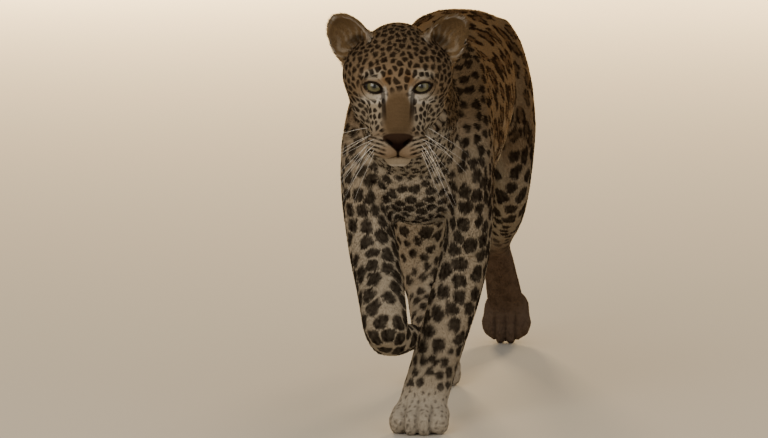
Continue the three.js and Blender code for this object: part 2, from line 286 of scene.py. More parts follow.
# A mesh as arrays: points in the drawing's mm, neighbours, and smooth normals.
class Surface:
    def __init__(self, mesh):
        self.mesh = mesh
        self.read()

    def read(self):
        count = len(self.mesh.vertices)
        co = np.zeros(count * 3)
        self.mesh.vertices.foreach_get("co", co)
        self.points = toDrawing(co.reshape(-1, 3))
        pairs = np.zeros(len(self.mesh.edges) * 2, int)
        self.mesh.edges.foreach_get("vertices", pairs)
        self.pairs = pairs.reshape(-1, 2)
        self.degree = np.bincount(pairs, minlength=count)
        self.normals = self.readNormals()

    def readNormals(self):
        normals = np.zeros(len(self.mesh.vertices) * 3)
        self.mesh.vertices.foreach_get("normal", normals)
        return normals.reshape(-1, 3)

    def write(self):
        self.mesh.vertices.foreach_set("co", toRow(self.points).ravel())
        self.mesh.update()
        self.normals = self.readNormals()

    # Each point's mean over its neighbours.
    def average(self, values):
        a, b = self.pairs.T
        flat = values.reshape(len(values), -1)
        total = np.zeros_like(flat)
        for k in range(flat.shape[1]):
            total[:, k] = np.bincount(a, flat[b, k], len(flat)) + np.bincount(b, flat[a, k], len(flat))
        return (total / np.maximum(self.degree, 1)[:, None]).reshape(values.shape)

    # Smoothing that doesn't shrink; keep is 1 where a point stays.
    def smooth(self, rounds, keep):
        move = (1 - keep)[:, None]
        for _ in range(rounds):
            for pull in (0.52, -0.54):
                self.points += move * pull * (self.average(self.points) - self.points)


labelTree, labelNames = nodeLabels()


def labelsOf(points):
    row = toRow(points)
    found = np.array([labelTree.find(p)[1] for p in row])
    return labelNames[found]


def starts(labels, word):
    return np.char.startswith(labels, word)


# Halves the faces whose corners are all in the mask.
def refine(surface, mask):
    bm = bmesh.new()
    bm.from_mesh(surface.mesh)
    bm.verts.ensure_lookup_table()
    faces = [f for f in bm.faces if all(mask[v.index] for v in f.verts)]
    edges = list({e for f in faces for e in f.edges})
    bmesh.ops.subdivide_edges(bm, edges=edges, cuts=1, use_grid_fill=True)
    bm.to_mesh(surface.mesh)
    bm.free()
    surface.mesh.update()
    surface.read()


# 1 on the four paws, 0 above them.
def footShare(points, labels):
    _, y, z = points.T
    low = smoothStep(85, 70, z)
    swinging = smoothStep(-85, -95, y) * smoothStep(200, 185, z)
    share = np.where(labels == "foreleg_right", swinging, low)
    push = smoothStep(845, 860, y)
    share = np.where(labels == "hindleg_left", np.maximum(push, low), share)
    return share * (starts(labels, "foreleg") | starts(labels, "hindleg"))


def coatDepth(points, labels):
    depth = np.full(len(points), skinPlan["body"])
    for part in ("head", "ear_", "tail", "foreleg", "hindleg"):
        depth[starts(labels, part)] = skinPlan[part]
    return depth


# 1 where the skin follows the head's form, falling to 0 on the ears and the nape.
def headShare(surface, labels):
    local = toHead(surface.points)
    share = (starts(labels, "head")).astype(float)
    for _ in range(3):
        share = np.minimum(share, surface.average(share))
    return share * smoothStep(95, 55, local[:, 1])


# Moves the skin onto the head's form, under its coat.
def drawToHead(surface, share):
    local = toHead(surface.points)
    chosen = np.nonzero(share > 0)[0]
    q = local[chosen]
    for _ in range(6):
        q -= fieldSlope(q) * (headField(q) + skinPlan["head"])[:, None] * 0.9
    local[chosen] += (q - local[chosen]) * share[chosen][:, None]
    surface.points = fromHead(local)
    surface.write()


def fitHead(surface):
    labels = labelsOf(surface.points)
    share = headShare(surface, labels)
    drawToHead(surface, share)
    return labels, share


# Evens out the points over the eyeballs and makes them finer there.
def relaxLids(surface, share):
    for _ in range(12):
        local = mirrored(toHead(surface.points))
        around = share * smoothStep(32, 25, np.linalg.norm(local - eyeCentre, axis=1))
        surface.points += (0.8 * around)[:, None] * (surface.average(surface.points) - surface.points)
        drawToHead(surface, around)
    local = mirrored(toHead(surface.points))
    inside, q = lidDepth(local)
    refine(surface, (inside > -6) & (np.linalg.norm(q, axis=1) < 24))


# The line of the closed mouth, as its height on the face for each place across.
def mouthHeight(x):
    ax = np.abs(x)
    return -43 - 7.5 * np.sin(np.clip(ax / 26, 0, 1) * math.pi / 2) ** 1.5 + 9 * smoothStep(24, 46, ax)


# Where the lids and the open eye lie: the lids just over the eyeball, the open part behind its front.
def lidPlace(inside, q):
    radius = eye["radius"]
    lid = radius + 1.3 + 1.1 * np.exp(-((inside / 2.5) ** 2))
    opened = np.maximum(radius + 2.4 - 1.6 * inside, radius - 3)
    return eyeCentre + unit(q) * np.where(inside > 0, opened, lid)[:, None]


# How far the muzzle's skin rises, in mm; less than 0 where it sinks.
def muzzleRelief(p, front):
    ax, y, z = p.T
    tip = front & (y < -92)
    nostril = ((ax - 14) / 5.5) ** 2 + ((z + 15 - 0.3 * (ax - 14)) / 3.6) ** 2
    wing = ((ax - 15) / 9) ** 2 + ((z + 9) / 4) ** 2
    cleft = np.exp(-((ax / 1.5) ** 2)) * smoothStep(-45, -42, z) * smoothStep(-20, -29, z)
    mouth = np.exp(-(((z - mouthHeight(ax)) / 1.5) ** 2)) * smoothStep(52, 44, ax)
    return tip * (1.2 * np.exp(-wing) - 6.0 * np.exp(-(nostril**2))) - front * (1.8 * cleft + 2.6 * mouth)


# Carves the lids, the fold above them, the nostrils, the cleft and the mouth. Gives the depth of shade.
def carveFace(surface, share):
    local = toHead(surface.points)
    side = np.where(local[:, 0] < 0, -1, 1)
    slope = fieldSlope(local)
    p = mirrored(local)
    near = share > 0.5
    inside, q = lidDepth(p)
    ring = near & (np.linalg.norm(q, axis=1) < 30)
    blend = np.where(ring, smoothStep(-6, -2.5, inside), 0)
    p += (lidPlace(inside, q) - p) * blend[:, None]
    fold = np.where(ring & (inside > -12) & (q @ eyeUp > 0), np.exp(-(((inside + 6.5) / 1.6) ** 2)), 0)
    lift = muzzleRelief(p, near & (p[:, 1] < -70)) - 1.3 * fold
    local = p * np.stack([side, np.ones(len(p)), np.ones(len(p))], 1) + slope * lift[:, None]
    # No lid sinks into the eyeball.
    middle = np.outer(side, [eyeCentre[0], 0, 0]) + [0, *eyeCentre[1:]]
    fromEye = local - middle
    least = eye["radius"] + 1.2
    sunk = ring & (inside < -0.2) & (np.linalg.norm(fromEye, axis=1) < least) & (q @ eyeForward > -6)
    local[sunk] = middle[sunk] + unit(fromEye[sunk]) * least
    surface.points = fromHead(local)
    surface.write()
    return smoothStep(0.3, 2.8, -lift)


# Each paw: its knuckles' middle, the width of its palm, and how far its toes point below level, in radians.
feet = [
    {"node": "foreleg_left", "knuckle": (12, -32, 34), "palm": 46, "down": 0.04},
    {"node": "foreleg_right", "knuckle": (-25, -96, 146), "palm": 38, "down": 2.75},
    {"node": "hindleg_left", "knuckle": (44, 880, 62), "palm": 39, "down": 1.05},
    {"node": "hindleg_right", "knuckle": (-20, 436, 34), "palm": 40, "down": 0.04},
]


# 1 in the three clefts between a paw's four toes, 0 elsewhere.
def toeGaps(points, labels):
    gaps = np.zeros(len(points))
    for foot in feet:
        q = points - np.array(foot["knuckle"], float)
        ahead = -q[:, 1] * math.cos(foot["down"]) - q[:, 2] * math.sin(foot["down"])
        for place in (-0.46, 0, 0.46):
            cleft = np.exp(-(((q[:, 0] - place * foot["palm"]) / 2.6) ** 2))
            gaps += cleft * smoothStep(12, 34, ahead) * (labels == foot["node"])
    return np.clip(gaps, 0, 1)


# The remeshed solids, smoothed, sunk under the coat, and carved. Gives also each point's node and its shade.
def makeSkin():
    surface = Surface(remeshed(joinedFlesh(), skinPlan["voxel"] * mm))
    labels = labelsOf(surface.points)
    keep = np.where(starts(labels, "ear_"), 0.75, 0.0)
    keep[footShare(surface.points, labels) > 0.5] = 0.6
    for _ in range(4):
        keep = surface.average(keep)
    surface.smooth(20, keep)
    surface.write()
    surface.points -= surface.normals * coatDepth(surface.points, labels)[:, None]
    surface.write()
    # Finer faces on the head, ears and paws, then on the face, then on the lids.
    share = headShare(surface, labels)
    refine(surface, (share > 0.02) | starts(labels, "ear_") | (footShare(surface.points, labels) > 0.5))
    labels, share = fitHead(surface)
    local = toHead(surface.points)
    refine(surface, (share > 0.5) & (local[:, 1] < -22) & (np.abs(local[:, 0]) < 60))
    labels, share = fitHead(surface)
    relaxLids(surface, share)
    labels, share = fitHead(surface)
    crease = carveFace(surface, share)
    clefts = toeGaps(surface.points, labels)
    surface.points -= surface.normals * (toeCleft * clefts)[:, None]
    surface.write()
    return surface, labels, np.maximum(crease, 0.5 * clefts)


skin, skinLabels, skinCrease = makeSkin()
print("skin made", len(skin.mesh.vertices), len(skin.mesh.polygons))


# The lie of the coat

# The middle line of the tail, from its root to its tip.
tailLine = np.array(
    [[0, 700, 520], [0, 748, 488], [-2, 796, 420], [-8, 846, 330], [-18, 908, 244], [-30, 988, 176],
     [-42, 1072, 150], [-50, 1146, 168], [-54, 1196, 214], [-55, 1212, 252]], float
)


# The share of the tail's length, from 0 at its root to 1 at its tip, and the way along it.
def tailPlace(points):
    best = np.full(len(points), 1e9)
    share = np.zeros(len(points))
    way = np.zeros_like(points)
    lengths = np.linalg.norm(np.diff(tailLine, axis=0), axis=1)
    before = np.concatenate([[0], np.cumsum(lengths)])
    for i, length in enumerate(lengths):
        along = (tailLine[i + 1] - tailLine[i]) / length
        t = np.clip((points - tailLine[i]) @ along, 0, length)
        away = np.linalg.norm(points - tailLine[i] - t[:, None] * along, axis=1)
        closer = away < best
        best[closer] = away[closer]
        share[closer] = (before[i] + t[closer]) / before[-1]
        way[closer] = along
    return share, way


# The way the hair points at each skin point, flat on the skin.
def coatLie(surface, labels):
    p = surface.points
    z = p[:, 2]
    lie = np.tile([0.0, 1.0, -0.28], (len(p), 1))
    fore = starts(labels, "foreleg")
    hind = starts(labels, "hindleg")
    down = smoothStep(500, 380, z) * (fore | hind)
    lie = mix(lie, np.array([0.0, 0.25, -1.0]), down)
    footed = ((fore & (p[:, 0] > 0)) | (hind & (p[:, 1] < 500))) & (z < 75)
    lie[footed] = [0.0, -1.0, -0.45]
    lie[starts(labels, "neck")] = [0.0, 0.9, -0.45]
    tail = starts(labels, "tail")
    lie[tail] = tailPlace(p[tail])[1]
    local = toHead(p)
    fromNose = unit(local - np.array([0, -122, -12])) @ headTurn.T
    lie = mix(lie, fromNose, starts(labels, "head") * smoothStep(110, 40, local[:, 1]))
    ear = starts(labels, "ear_")
    side = np.stack([np.sign(local[:, 0]), *np.ones((2, len(p)))], 1)
    outward = (mirrored(local) - np.array([48, 40, 36])) * side
    lie[ear] = unit(outward[ear]) @ headTurn.T
    for _ in range(10):
        lie -= surface.normals * np.sum(lie * surface.normals, axis=1)[:, None]
        lie = unit(unit(lie) + surface.average(unit(lie)))
    lie -= surface.normals * np.sum(lie * surface.normals, axis=1)[:, None]
    return unit(lie)


skinLie = coatLie(skin, skinLabels)


# The markings

ground = {
    "back": linear("#7b6449"),
    "flank": linear("#8a745a"),
    "pale": linear("#b5a791"),
    "white": linear("#ddd4c5"),
    "centre": linear("#5f4228"),  # the middle of a rosette
    "rust": linear("#80603f"),
    "bridge": linear("#65513a"),
    # painted shade for the lower part of the hind leg that pushes off
    "foot": linear("#5a4232"),
    "spot": linear("#1a110b"),
    "leather": linear("#1f1411"),  # the bare front of the nose
    "leatherTop": linear("#3c2c21"),
    "black": linear("#0f0a08"),  # lids, lips and the backs of the ears
    "earFur": linear("#7d6547"),
}


faceTilt = headPitch + math.radians(camera["pitch"])


# Height on the face as it looks to one who meets its eyes, in mm above the head's middle.
def faceHeight(local):
    return local[:, 1] * math.sin(faceTilt) + local[:, 2] * math.cos(faceTilt)


noSpots = 400  # a spacing, in mm, that leaves a part without spots


# For each point: the distance between spots there, a spot's share of it, and how open a ring it is.
def spotPlan(points, normals, labels):
    _, y, z = points.T
    spacing = np.full(len(points), 47.0)
    share = np.full(len(points), 0.48)
    ring = np.full(len(points), 0.72)

    def put(mask, gap, part, hollow):
        spacing[mask] = gap
        share[mask] = part
        ring[mask] = hollow

    trunk = starts(labels, "trunk")
    fore = starts(labels, "foreleg")
    hind = starts(labels, "hindleg")
    head = starts(labels, "head")
    neck = starts(labels, "neck")
    put(trunk & (y < 320), 38, 0.48, 0.7)
    put(trunk & (y < 150), 24, 0.49, 0.35)
    put(trunk & (normals[:, 2] < -0.45), 38, 0.36, 0)
    put(trunk & (y < 0), 19, 0.5, 0)
    put(trunk & (y < 0) & (z > 400), 15, 0.5, 0)
    put(neck, 17, 0.5, 0)
    put(neck & (y < -90), 12.5, 0.5, 0)
    put(fore & (z >= 400), 18, 0.46, 0)
    put(fore & (z < 400), 22, 0.54, 0)
    put(fore & (z < 310), 24, 0.54, 0)
    put(fore & (z < 125), 18, 0.42, 0)
    put(fore & (z < 62), 10, 0.26, 0)
    put(hind & (z >= 400), 36, 0.46, 0.65)
    put(hind & (z < 400) & (z >= 380), 30, 0.46, 0.4)
    put(hind & (z < 380), 29, 0.47, 0)
    put(hind & (z < 230), 20, 0.4, 0)
    put(hind & (z < 70), 12, 0.26, 0)
    put(starts(labels, "tail"), 30, 0.46, 0.2)
    local = toHead(points)
    put(head, 10.6, 0.52, 0)
    put(head & (faceHeight(local) > 18), 10.2, 0.58, 0)
    put(head & (local[:, 1] > 60), 12, 0.52, 0)
    put(starts(labels, "ear_"), noSpots, 0.001, 0)
    return spacing, share, ring


# Spot centres by dart throwing over the skin's own points, each with its size, shape and lie.
def scatterSpots(surface, labels, lie):
    rng = np.random.default_rng(seed)
    spacing, share, ring = spotPlan(surface.points, surface.normals, labels)
    cell = 12.0
    grid = {}
    chosen = []

    def isClear(i, key):
        reach = int(math.ceil(spacing[i] / cell))
        for step in product(range(-reach, reach + 1), repeat=3):
            for j in grid.get((key[0] + step[0], key[1] + step[1], key[2] + step[2]), ()):
                least = 0.44 * (spacing[i] + spacing[j])
                if np.sum((surface.points[j] - surface.points[i]) ** 2) < least * least:
                    return False
        return True

    for i in rng.permutation(len(surface.points)):
        if spacing[i] == noSpots:
            continue
        key = tuple((surface.points[i] // cell).astype(int))
        if isClear(i, key):
            grid.setdefault(key, []).append(i)
            chosen.append(i)
    chosen = np.array(chosen)
    count = len(chosen)
    along = lie[chosen]
    across = unit(np.cross(surface.normals[chosen], along))
    twist = rng.normal(0, 0.35, count)[:, None]
    return {
        "centre": surface.points[chosen],
        "along": along * np.cos(twist) + across * np.sin(twist),
        "across": across * np.cos(twist) - along * np.sin(twist),
        "radius": spacing[chosen] * share[chosen] * rng.uniform(0.82, 1.12, count),
        "stretch": rng.uniform(1.0, 1.35, count) + 0.5 * (spacing[chosen] < 13.5),
        "ring": ring[chosen] * (rng.random(count) < 0.96),
        "phase": rng.uniform(0, 2 * math.pi, (count, 4)),
        "wobble": rng.uniform(0.02, 0.1, (count, 3)) * (1 + 0.8 * ring[chosen])[:, None],
        "gaps": rng.integers(2, 5, count),
    }


spots = scatterSpots(skin, skinLabels, skinLie)
spotTree = KDTree(len(spots["centre"]))
for number, place in enumerate(spots["centre"]):
    spotTree.insert(place, number)
spotTree.balance()
print("spots", len(spots["centre"]))


# The share of dark at each point, and the share of a rosette's warmer middle.
def spotDarkness(points):
    bent = np.stack([waves(points, 17, n) for n in (12, 13, 14)], axis=1)
    points = points + 1.5 * bent
    found = np.array([[(hit[1], hit[2]) for hit in spotTree.find_n(p, 3)] for p in points])
    near = found[:, :, 0].astype(int)
    border = (found[:, 1, 1] - found[:, 0, 1]) / 2
    parting = smoothStep(0.5, 1.5, border)
    dark = np.zeros(len(points))
    warm = np.zeros(len(points))
    for k in range(near.shape[1]):
        s = {name: values[near[:, k]] for name, values in spots.items()}
        q = points - s["centre"]
        u = np.sum(q * s["along"], axis=1) / np.sqrt(s["stretch"])
        v = np.sum(q * s["across"], axis=1) * np.sqrt(s["stretch"])
        off = np.abs(np.sum(q * np.cross(s["along"], s["across"]), axis=1))
        turn = np.arctan2(v, u)
        away = np.sqrt(u * u + v * v) / s["radius"] + np.maximum(off / s["radius"] - 1.2, 0)
        edge = np.ones(len(points))
        for n, lobes in enumerate((2, 3, 5)):
            edge += s["wobble"][:, n] * np.sin(lobes * turn + s["phase"][:, n])
        soft = np.clip(1.1 / s["radius"], 0.04, 0.3)
        disc = smoothStep(edge + soft, edge - soft, away)
        hole = edge * (0.52 + 0.05 * np.sin(3 * turn + s["phase"][:, 3]))
        hollow = smoothStep(hole + soft, hole - soft, away)
        cut = np.cos(s["gaps"] * turn + s["phase"][:, 3])
        parted = smoothStep(0.78, 0.95, cut) * smoothStep(0.4, 0.55, away)
        ring = s["ring"]
        blob = disc * (1 - ring * hollow) * (1 - np.minimum(ring * 2, 1) * parted)
        dark = np.maximum(dark, blob * np.where(ring > 0.6, 1, parting))
        warm = np.maximum(warm, disc * ring)
    return dark, warm


# The colour of skin and coat alike, as linear red, green and blue.
def coatColour(points, normals, labels, crease):
    x, y, z = points.T
    nx, _, nz = normals.T
    local = toHead(points)
    height = faceHeight(local)
    ax = np.abs(local[:, 0])
    head = starts(labels, "head")
    ear = starts(labels, "ear_")
    fore = starts(labels, "foreleg")
    hind = starts(labels, "hindleg")
    leg = fore | hind
    tail = starts(labels, "tail")
    # Tawny back and flanks, over a pale belly, breast, inner legs and paws.
    drift = 0.5 + 0.5 * waves(points, 160, 3)
    high = smoothStep(400, 585, z + 12 * waves(points, 60, 4))
    colour = mix(ground["flank"], ground["back"], np.clip(high * 1.1, 0, 1))
    under = smoothStep(0.05, -0.75, nz + 0.12 * waves(points, 45, 9)) * ~leg * ~head
    colour = mix(colour, ground["pale"], 0.8 * smoothStep(0, 0.5, under))
    colour = mix(colour, ground["white"], 0.7 * smoothStep(0.4, 1, under))
    breast = smoothStep(40, -90, y) * smoothStep(500, 420, z) * ~head
    colour = mix(colour, ground["pale"], 0.75 * breast)
    inner = smoothStep(0.1, -0.6, nx * np.sign(x)) * leg * smoothStep(430, 330, z)
    lower = smoothStep(380, 300, z) * leg
    colour = mix(colour, ground["pale"], np.clip(0.7 * lower + 0.6 * inner, 0, 1))
    paw = smoothStep(80, 45, z) * leg
    colour = mix(colour, ground["white"], 0.3 * paw)
    # Painted shade: the lower part of the leg that pushes off is painted dark brown. The tail is white below.
    shadedBackFoot = smoothStep(215, 150, z) * hind * (y > 700)
    colour = mix(colour, ground["foot"], 0.85 * shadedBackFoot)
    colour = mix(colour, ground["white"], 0.7 * tail * smoothStep(0.2, -0.6, nz))
    # Spots and rosettes, which turn to bands towards the tip of the tail and fade out on the feet.
    dark, warm = spotDarkness(points)
    share, _ = tailPlace(points)
    band = smoothStep(0.2, 0.5, np.sin(share * 52 + 0.4 * waves(points, 40, 8)))
    band *= smoothStep(0.52, 0.6, share)
    dark = np.where(tail, np.maximum(dark * smoothStep(0.62, 0.55, share), band), dark)
    # The painted shade on the leg that pushes off hides most of its spots.
    dark = dark * (1 - 0.75 * shadedBackFoot)
    dark = dark * (1 - 0.4 * paw)
    colour = mix(colour, ground["centre"], 0.75 * warm)
    colour = np.where(head[:, None], faceGround(local, height, ax), colour)
    dark = np.where(head, dark * faceSpotShare(local, height, ax), dark)
    colour = mix(colour, ground["spot"], dark * (0.9 + 0.06 * waves(points, 9, 5)))
    colour = np.where(head[:, None], faceMarks(colour, local, height, ax), colour)
    colour = np.where(ear[:, None], earColour(local, normals), colour)
    # Shade in the creases, and slow and fine unevenness of tone.
    colour = colour * (1 - 0.6 * crease)[:, None]
    return colour * (0.9 + 0.12 * drift)[:, None] * (1 + 0.06 * waves(points, 5, 6))[:, None]


# 1 inside an oval with half widths ra and rb, falling to 0 outside it.
def ovalShare(a, b, ra, rb, soft):
    away = np.sqrt((a / ra) ** 2 + (b / rb) ** 2)
    return smoothStep(1 + soft, 1 - soft, away)


# Each patch of the face: its colour and strength, its middle and half widths across and up, its softness.
facePatches = [
    ("pale", 0.75, (44, -30), (26, 30), 0.35),  # cheek
    ("pale", 0.8, (36, 27), (17, 8), 0.35),  # over the eye
    ("white", 0.75, (36, -9), (18, 7), 0.35),  # under the eye
    ("rust", 0.7, (17, 22), (7, 9), 0.35),  # inner brow
    ("white", 0.8, (20, -4), (4.5, 12), 0.35),  # beside the bridge
    ("bridge", 0.95, (0, -34), (23, 34), 0.25),
    ("pale", 0.6, (26, -82), (25, 17), 0.35),  # whisker pad
    ("rust", 0.4, (16, -88), (14, 9), 0.35),
]


def faceGround(local, height, ax):
    colour = mix(ground["flank"], ground["back"], 0.3 * smoothStep(10, 60, height))
    for name, strength, middle, half, soft in facePatches:
        patch = ovalShare(ax - middle[0], height - middle[1], half[0], half[1], soft)
        colour = mix(colour, ground[name], strength * patch)
    chin = smoothStep(-20, -50, local[:, 1])
    colour = mix(colour, ground["pale"], 0.8 * smoothStep(-94, -99, height) * chin)
    return mix(colour, ground["white"], 0.95 * smoothStep(-104, -109, height) * chin)


# Where the face's plain parts keep the spots away.
def faceSpotShare(local, height, ax):
    share = 1 - ovalShare(ax, height + 36, 24, 38, 0.15)
    share *= 1 - smoothStep(-56, -64, height + 0.1 * ax) * smoothStep(0, -40, local[:, 1])
    share *= 1 - ovalShare(ax - 37, height - 6, 22, 17, 0.15)
    return share


whiskerRow = 6.6  # from one dark row on the pads to the next


# The lines of the eyes, the whisker rows, the lips and the leather of the nose.
def faceMarks(colour, local, height, ax):
    inside, q = lidDepth(mirrored(local))
    front = local[:, 1] < -5
    liner = smoothStep(-3.8, -2.4, inside) * front
    liner *= smoothStep(1.4, 1.15, np.abs(q @ eyeRight) / eye["halfGap"])
    colour = mix(colour, ground["black"], 0.95 * liner)
    tear = smoothStep(4.2, 2.2, np.abs(ax - 21.5 - 0.05 * (height + 10))) * smoothStep(-50, -26, height)
    tear *= smoothStep(8, -2, height) * front
    colour = mix(colour, ground["spot"], 0.8 * tear)
    slant = height - 0.33 * ax
    rows = smoothStep(-0.35, 0.25, np.sin(slant * (2 * math.pi / whiskerRow) + 0.9))
    broken = smoothStep(-0.9, -0.2, np.sin(ax * 0.42 + 2.2 * np.floor(slant / whiskerRow)))
    rows *= smoothStep(15, 22, ax) * smoothStep(52, 47, ax) * (0.5 + 0.5 * broken)
    rows *= smoothStep(-97, -93, height) * smoothStep(-62, -67, height) * front
    colour = mix(colour, ground["spot"], 0.95 * rows)
    lip = smoothStep(2.6, 1.0, np.abs(local[:, 2] - mouthHeight(local[:, 0]))) * (local[:, 1] < -70)
    colour = mix(colour, ground["black"], 0.85 * lip * smoothStep(52, 46, ax))
    tone = smoothStep(-65, -76, height + 3 * np.abs(ax - 10) / 10)
    return mix(colour, mix(ground["leatherTop"], ground["leather"], tone), noseShare(local))


# 1 on the bare leather of the nose: a wide top edge, narrowing to the cleft.
def noseShare(local):
    ax = np.abs(local[:, 0])
    height = faceHeight(local)
    wide = 1.8 + 20.5 * smoothStep(-90, -68, height)
    top = -60.5 - 4 * (ax / 22) ** 4
    share = smoothStep(wide + 1.2, wide - 1.2, ax) * smoothStep(top + 1.5, top - 1.5, height)
    return share * smoothStep(-97, -95, height) * (local[:, 1] < -85)


earBack = np.array([-0.2, 0.93, -0.3])


# Tawny inside with a pale rim and painted shade in its fold; black behind with a pale spot.
def earColour(local, normals):
    behind = smoothStep(0.15, 0.4, normals @ headTurn[:, 1])
    p = mirrored(local)
    fromRoot = np.linalg.norm(p - np.array([50, 38, 34]), axis=1)
    angle = np.arctan2(p[:, 0] - 50, p[:, 2] - 34)
    streak = smoothStep(0.1, 0.8, np.sin(angle * 24 + 1.6 * np.sin(fromRoot / 7) + 2 * waves(p, 30, 11)))
    inner = mix(ground["earFur"], ground["pale"], 0.45 * streak * smoothStep(62, 40, fromRoot))
    # Painted shade: a dark patch in the fold deep inside the ear.
    inner = mix(inner, ground["spot"], 0.75 * ovalShare(fromRoot - 33, p[:, 2] - 60, 9, 12, 0.5))
    fromRim = (p - np.array([57, 36, 43])) @ unit(earBack) + 4.5
    inner = mix(inner, ground["white"], 0.75 * smoothStep(5, 2, fromRim) * smoothStep(34, 48, fromRoot))
    rear = np.tile(ground["black"], (len(p), 1))
    rear = mix(rear, ground["white"], 0.85 * ovalShare(fromRoot - 44, p[:, 0] - 84, 11, 16, 0.3))
    rear = mix(rear, ground["flank"], smoothStep(26, 16, fromRoot))
    return mix(inner, rear, behind)


def setColour(mesh, name, colours):
    layer = mesh.color_attributes.new(name, "FLOAT_COLOR", "POINT")
    full = np.ones((len(colours), 4), np.float32)
    full[:, :3] = np.clip(colours, 0, 1)
    layer.data.foreach_set("color", full.ravel())


skinColours = coatColour(skin.points, skin.normals, skinLabels, skinCrease)
setColour(skin.mesh, "coat", skinColours)
print("markings made")


# An unwrap of the skin: each node's part of it is wrapped round its own long axis, in a tile of its own

tileNames = ["head", "neck", "trunk", "foreleg_left", "foreleg_right", "hindleg_left", "hindleg_right",
             "tail_root", "tail_middle", "tail_tip", "ear_left", "ear_right"]


def unwrap(points, labels):
    uv = np.zeros((len(points), 2))
    for i, name in enumerate(tileNames):
        mask = labels == name
        if not mask.any():
            continue
        low, high = [toDrawing(np.array(corner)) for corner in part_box(name)]
        middle = (low + high) / 2
        size = high - low
        axis = 2 if "leg" in name else 1
        rest = [k for k in range(3) if k != axis]
        q = points[mask] - middle
        u = np.arctan2(q[:, rest[1]], q[:, rest[0]]) / (2 * math.pi) + 0.5
        v = np.clip(q[:, axis] / size[axis] + 0.5, 0, 1)
        uv[mask, 0] = (i % 4 + 0.03 + 0.94 * u) / 4
        uv[mask, 1] = (i // 4 + 0.03 + 0.94 * v) / 3
    return uv


def addBakeMap(mesh, uvOfPoints, patch=None):
    layer = mesh.uv_layers.new(name="OFBake")
    corners = np.zeros(len(mesh.loops), int)
    mesh.loops.foreach_get("vertex_index", corners)
    uv = uvOfPoints[corners]
    if patch is not None:
        uv = uv + patch[corners]
    layer.data.foreach_set("uv", uv.astype(np.float32).ravel())


# Materials

# Adds a shader node, sets its settings, and sets or links its inputs.
def node(tree, kind, values=None, **settings):
    made = tree.nodes.new(kind)
    for name, value in settings.items():
        setattr(made, name, value)
    for name, value in (values or {}).items():
        if hasattr(value, "is_output"):
            tree.links.new(value, made.inputs[name])
        else:
            made.inputs[name].default_value = value
    return made


def newMaterial(name):
    material = bpy.data.materials.new(name)
    material.use_nodes = True
    tree = material.node_tree
    tree.nodes.clear()
    shader = tree.nodes.new("ShaderNodeBsdfPrincipled")
    out = tree.nodes.new("ShaderNodeOutputMaterial")
    tree.links.new(shader.outputs[0], out.inputs[0])
    return material, tree, shader


# Dry guard hair: scaly and matt, so it takes the light softly and shows no gloss even along the flank.
def furMaterial():
    material, tree, shader = newMaterial("leopard_fur")
    colour = node(tree, "ShaderNodeAttribute", attribute_name="coat")
    tree.links.new(colour.outputs["Color"], shader.inputs["Base Color"])
    shader.inputs["Roughness"].default_value = 0.62
    shader.inputs["Specular IOR Level"].default_value = 0.0
    return material


# Hide under short hair, in the coat's own colours: a fine grain of hair ends over low folds.
def skinMaterial():
    grainsPerMm = 0.9  # coarser than the hair is, so that they show
    foldWidth = 6.25 * mm
    foldDepth = 0.8 * mm
    material, tree, shader = newMaterial("leopard_skin")
    colour = node(tree, "ShaderNodeAttribute", attribute_name="coat")
    place = node(tree, "ShaderNodeTexCoord").outputs["Object"]
    grain = node(tree, "ShaderNodeTexNoise", {"Vector": place, "Scale": grainsPerMm / mm, "Detail": 3.0})
    folds = node(tree, "ShaderNodeTexNoise", {"Vector": place, "Scale": 1 / foldWidth, "Detail": 2.0})
    tone = node(tree, "ShaderNodeMapRange", {"Value": grain.outputs["Fac"], "To Min": 0.72, "To Max": 1.12})
    shade = node(tree, "ShaderNodeVectorMath", {0: colour.outputs["Color"]}, operation="SCALE")
    tree.links.new(tone.outputs[0], shade.inputs["Scale"])
    tree.links.new(shade.outputs[0], shader.inputs["Base Color"])
    both = node(tree, "ShaderNodeMath", {0: grain.outputs["Fac"], 1: folds.outputs["Fac"]}, operation="ADD")
    bump = node(tree, "ShaderNodeBump", {"Height": both.outputs[0], "Strength": 0.5, "Distance": foldDepth})
    tree.links.new(bump.outputs[0], shader.inputs["Normal"])
    shader.inputs["Roughness"].default_value = 0.65
    shader.inputs["Specular IOR Level"].default_value = 0.0
    return material


fur = furMaterial()
skinFinish = skinMaterial()


def finishPiece(mesh, name, material):
    mesh.materials.clear()
    mesh.materials.append(material)
    made = bpy.data.objects.new(name, mesh)
    bpy.context.scene.collection.objects.link(made)
    mesh.polygons.foreach_set("use_smooth", [True] * len(mesh.polygons))
    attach(made, "root")
    return made


addBakeMap(skin.mesh, unwrap(skin.points, skinLabels))
skinPiece = finishPiece(skin.mesh, "skin", skinFinish)
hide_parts(*flesh)


# The coat: tufts in all and in a piece, and their size on the body, in mm, and number to the square mm

coat = {
    "tufts": 365000,
    "perPiece": 48000,
    "length": 8.0,
    "width": 1.6,
    "dense": 0.29,
    "shade": [0.86, 0.86, 0.98, 0.95],  # painted shade, darkest at the roots: of the two root corners, the ridge and the tip
}


